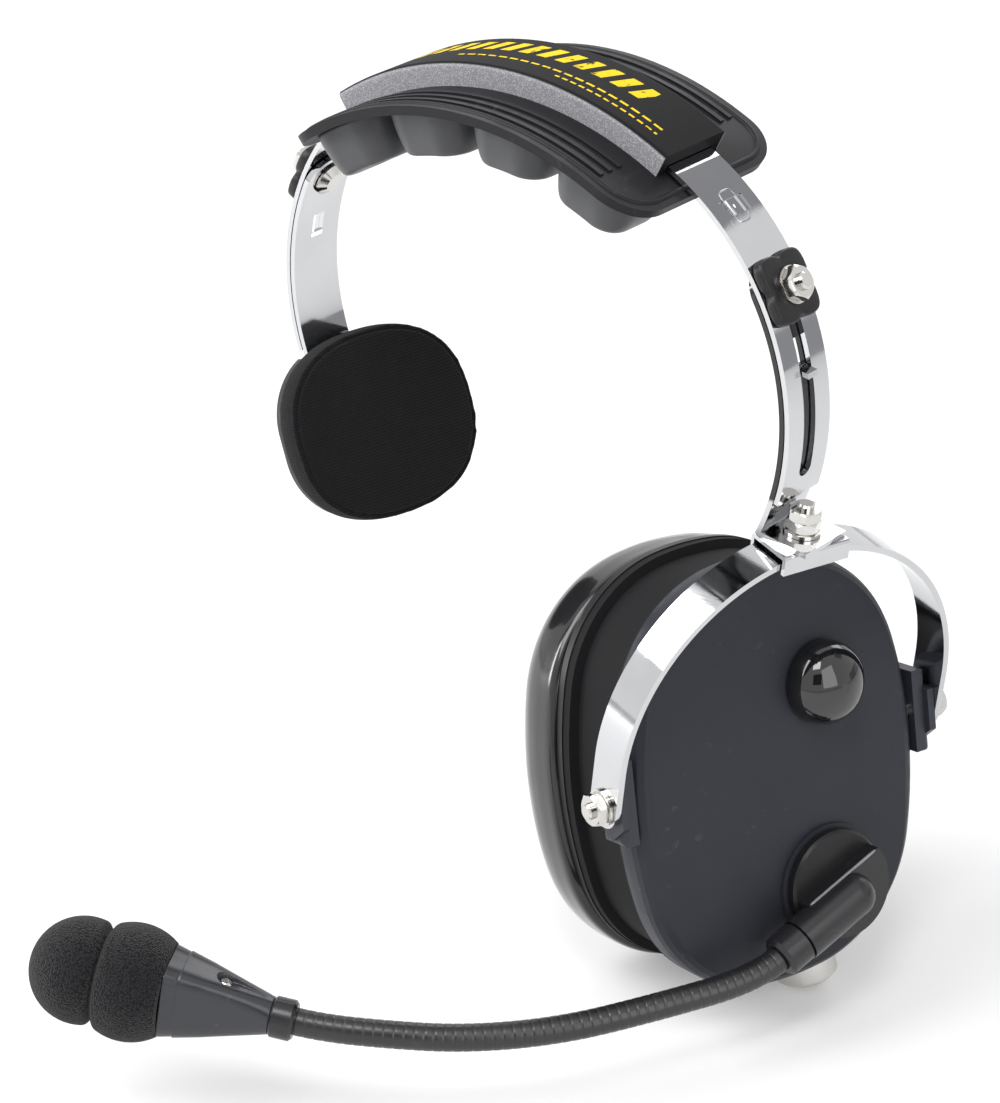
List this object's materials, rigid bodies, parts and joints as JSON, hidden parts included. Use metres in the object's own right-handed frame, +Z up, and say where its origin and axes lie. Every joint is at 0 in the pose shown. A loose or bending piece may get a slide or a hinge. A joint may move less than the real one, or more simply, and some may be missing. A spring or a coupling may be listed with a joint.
{
  "type": "aviation headset",
  "caption": "Single-ear headset: spring band over the crown with a head pad, temple pad on one side, padded ear cup on the other with a volume knob and a boom microphone.",
  "frame": {"origin": "crown of the wearer's head under the head cushions, on the band's middle plane", "axes": "+X towards the ear cup, -Y the way the wearer looks, +Z up"},
  "size_m": [0.1672, 0.1927, 0.217],
  "materials": {
    "chrome_steel": "mirror-bright plating",
    "nickel_hardware": "bright nickel",
    "shell_plastic": "satin dark slate grey",
    "black_plastic": "satin black",
    "gloss_black": "gloss black",
    "seal_vinyl": "glossy black vinyl over foam and gel",
    "black_foam": "open foam",
    "knit_fabric": "fine black knit",
    "cushion_foam": "soft moulded foam",
    "neck_rubber": "satin black sleeve",
    "cover_plastic": "black top with pale grey speckled sides",
    "cone_paper": "dark cone",
    "magnet_steel": "plated steel",
    "board_green": "circuit board",
    "contact_brass": "bronze coloured contacts"
  },
  "bodies": {
    "head": {"headband_spring": "chrome_steel", "head_pad_base": "black_plastic", "head_pad_cushions_front": "cushion_foam", "head_pad_cushions_rear": "cushion_foam", "crown_cover": "cover_plastic"},
    "ear_slide": {"cup_slider": "chrome_steel", "cup_clamp_block": "black_plastic", "cup_slider_bolt": "nickel_hardware", "cup_clamp_washer": "nickel_hardware", "cup_clamp_nut": "nickel_hardware"},
    "temple": {"temple_slider": "chrome_steel", "temple_clamp_block": "black_plastic", "temple_slider_bolt": "nickel_hardware", "temple_clamp_washer": "nickel_hardware", "temple_clamp_nut": "nickel_hardware", "temple_pad_plate": "black_plastic", "temple_pad_rivets": "nickel_hardware", "temple_pad_cushion": "knit_fabric"},
    "yoke": {"yoke": "chrome_steel", "yoke_bracket": "chrome_steel", "swivel_screw": "nickel_hardware", "swivel_washer": "nickel_hardware", "swivel_nut": "nickel_hardware", "swivel_lock_nut": "nickel_hardware"},
    "cup": {"cup_shell": "shell_plastic", "pivot_block_front": "black_plastic", "pivot_block_rear": "black_plastic", "pivot_screws": "nickel_hardware", "pivot_washers": "nickel_hardware", "pivot_nuts": "nickel_hardware", "baffle_plate": "black_plastic", "ear_seal": "seal_vinyl", "speaker_frame": "black_plastic", "speaker_cone": "cone_paper", "speaker_magnet": "magnet_steel", "speaker_foam": "black_foam", "cup_liner": "black_foam", "volume_control": "black_plastic", "volume_nut": "nickel_hardware", "circuit_board": "board_green", "cord_socket": "nickel_hardware", "socket_insert": "contact_brass", "socket_nut": "nickel_hardware"},
    "knob": {"volume_shaft": "nickel_hardware", "volume_knob": "gloss_black"},
    "boom": {"boom_turntable": "black_plastic", "boom_stem": "black_plastic", "boom_washer": "nickel_hardware", "boom_nut": "nickel_hardware", "boom_arm": "black_plastic", "boom_collar": "black_plastic", "collar_screw": "nickel_hardware", "gooseneck": "neck_rubber"},
    "mic": {"mic_collar": "black_plastic", "mic_housing_front": "shell_plastic", "mic_housing_rear": "shell_plastic", "mic_screw": "nickel_hardware", "mic_capsule": "black_plastic", "mic_muff": "black_foam"}
  },
  "joints": [
    {"name": "ear_slide", "type": "hinge", "parent": "head", "child": "ear_slide", "pos_m": [0.014, 0, -0.04905], "axis": [0, 1, 0], "range_deg": [0, 18]},
    {"name": "temple_slide", "type": "hinge", "parent": "head", "child": "temple", "pos_m": [-0.014, 0, -0.04905], "axis": [0, -1, 0], "range_deg": [-3, 14]},
    {"name": "yoke_swivel", "type": "hinge", "parent": "ear_slide", "child": "yoke", "pos_m": [0.06472, 0, -0.13495], "axis": [0.1392, 0, 0.9903], "range_deg": [-8, 30]},
    {"name": "cup_tilt", "type": "hinge", "parent": "yoke", "child": "cup", "pos_m": [0.06472, 0, -0.13495], "axis": [0.2796, 0.9593, -0.0393], "range_deg": [-10, 28]},
    {"name": "volume_knob", "type": "hinge", "parent": "cup", "child": "knob", "pos_m": [0.06537, 0.01343, -0.12048], "axis": [0.9419, -0.2661, 0.2047], "range_deg": [-140, 140]},
    {"name": "boom_pivot", "type": "hinge", "parent": "cup", "child": "boom", "pos_m": [0.07366, 0.00659, -0.16752], "axis": [0.9419, -0.2661, 0.2047], "range_deg": [-28, 110]},
    {"name": "gooseneck_bend", "type": "hinge", "parent": "boom", "child": "mic", "pos_m": [0.0568, -0.0671, -0.1787], "axis": [-0.1859, 0.0942, 0.978], "range_deg": [-20, 20], "deforming": ["gooseneck"]}
  ]
}
